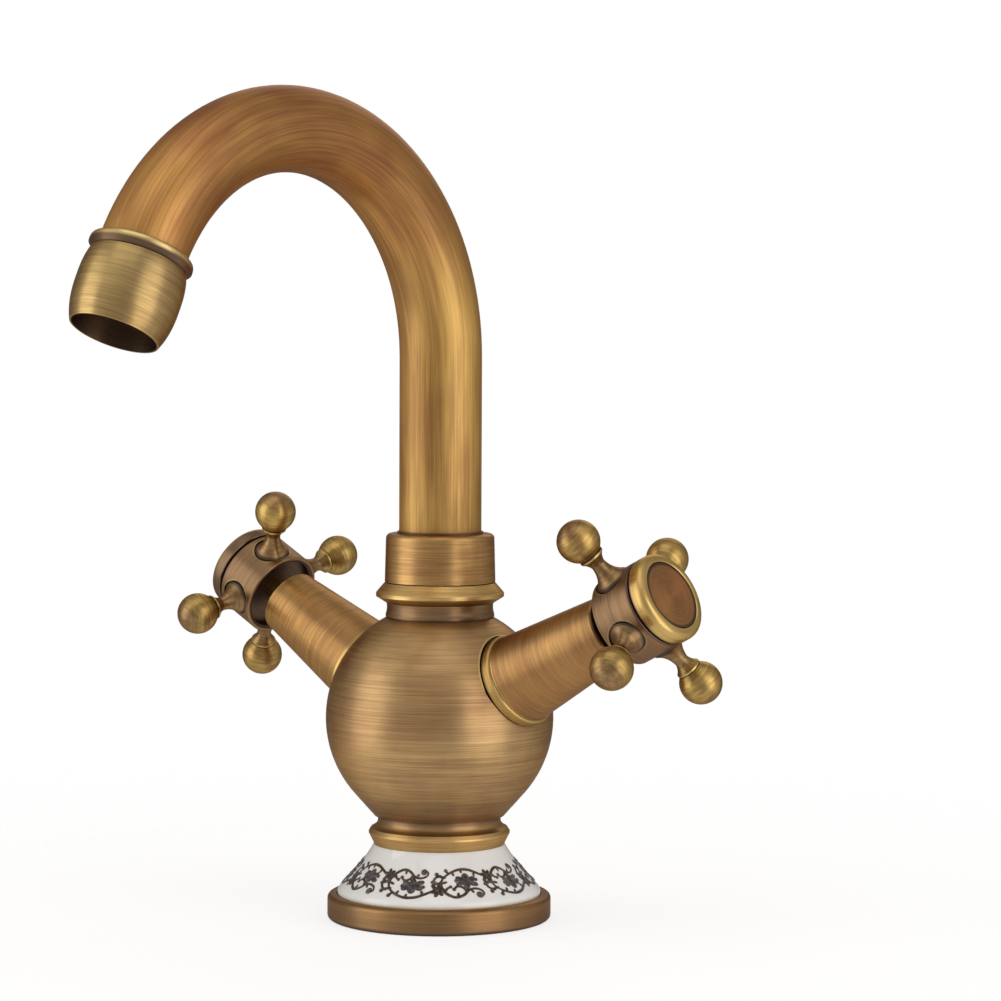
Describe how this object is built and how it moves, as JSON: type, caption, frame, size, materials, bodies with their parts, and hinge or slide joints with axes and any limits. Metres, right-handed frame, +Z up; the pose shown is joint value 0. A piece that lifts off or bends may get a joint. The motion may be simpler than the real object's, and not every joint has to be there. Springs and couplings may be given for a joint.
{
  "type": "bathroom mixer faucet",
  "caption": "Two-handle basin mixer: round body on a decorated porcelain base, swivelling arched spout, and cross handles on raised side arms.",
  "frame": {"origin": "centre of the flange's underside, where it rests on the basin deck", "axes": "+Z up from the deck; the spout points along -Y; the hot handle is at -X and the cold handle at +X"},
  "size_m": [0.1648, 0.1633, 0.2226],
  "materials": {
    "brushed_brass": "satin",
    "tube_brass": "satin",
    "gold_brass": "satin",
    "dark_bronze": "satin",
    "disc_bronze": "satin",
    "plain_brass": "satin",
    "porcelain": "gloss",
    "vine_enamel": "gloss",
    "blossom_enamel": "gloss",
    "disc_ceramic": "satin",
    "seal_rubber": "matte",
    "slip_plastic": "matte",
    "aerator_plastic": "satin",
    "stainless": "satin"
  },
  "bodies": {
    "body": {"base_flange": "brushed_brass", "base_gasket": "seal_rubber", "porcelain_skirt": "porcelain", "base_collar": "brushed_brass", "ball_body": "brushed_brass", "neck_adapter": "brushed_brass", "spout_nut": "brushed_brass", "hot_arm": "brushed_brass", "hot_arm_ring": "gold_brass", "hot_cartridge_body": "plain_brass", "hot_cartridge_seal": "seal_rubber", "hot_fixed_disc": "disc_ceramic", "cold_arm": "brushed_brass", "cold_arm_ring": "gold_brass", "cold_cartridge_body": "plain_brass", "cold_cartridge_seal": "seal_rubber", "cold_fixed_disc": "disc_ceramic"},
    "spout": {"spout_tube": "tube_brass", "spout_ferrule": "plain_brass", "spout_o_rings": "seal_rubber", "spout_slip_ring": "slip_plastic", "spout_bead_ring": "gold_brass", "nozzle_shell": "brushed_brass", "aerator_washer": "seal_rubber", "aerator_body": "aerator_plastic", "aerator_screen": "stainless"},
    "hot_handle": {"hot_moving_disc": "disc_ceramic", "hot_stem": "plain_brass", "hot_stem_o_rings": "seal_rubber", "hot_retaining_clip": "stainless", "hot_handle_hub": "dark_bronze", "hot_handle_spokes": "gold_brass", "hot_handle_bezel": "gold_brass", "hot_index_disc": "disc_bronze", "hot_handle_screw": "stainless"},
    "cold_handle": {"cold_moving_disc": "disc_ceramic", "cold_stem": "plain_brass", "cold_stem_o_rings": "seal_rubber", "cold_retaining_clip": "stainless", "cold_handle_hub": "dark_bronze", "cold_handle_spokes": "gold_brass", "cold_handle_bezel": "gold_brass", "cold_index_disc": "disc_bronze", "cold_handle_screw": "stainless"}
  },
  "joints": [
    {"name": "spout_swivel", "type": "hinge", "parent": "body", "child": "spout", "pos_m": [0, 0, 0.09], "axis": [0, 0, 1], "continuous": true},
    {"name": "hot_handle_turn", "type": "hinge", "parent": "body", "child": "hot_handle", "pos_m": [0, 0, 0.05285], "axis": [-0.8888, 0.0326, 0.4571], "range_deg": [0, 90]},
    {"name": "cold_handle_turn", "type": "hinge", "parent": "body", "child": "cold_handle", "pos_m": [0, 0, 0.05285], "axis": [-0.8888, -0.0326, -0.4571], "range_deg": [0, 90]}
  ]
}
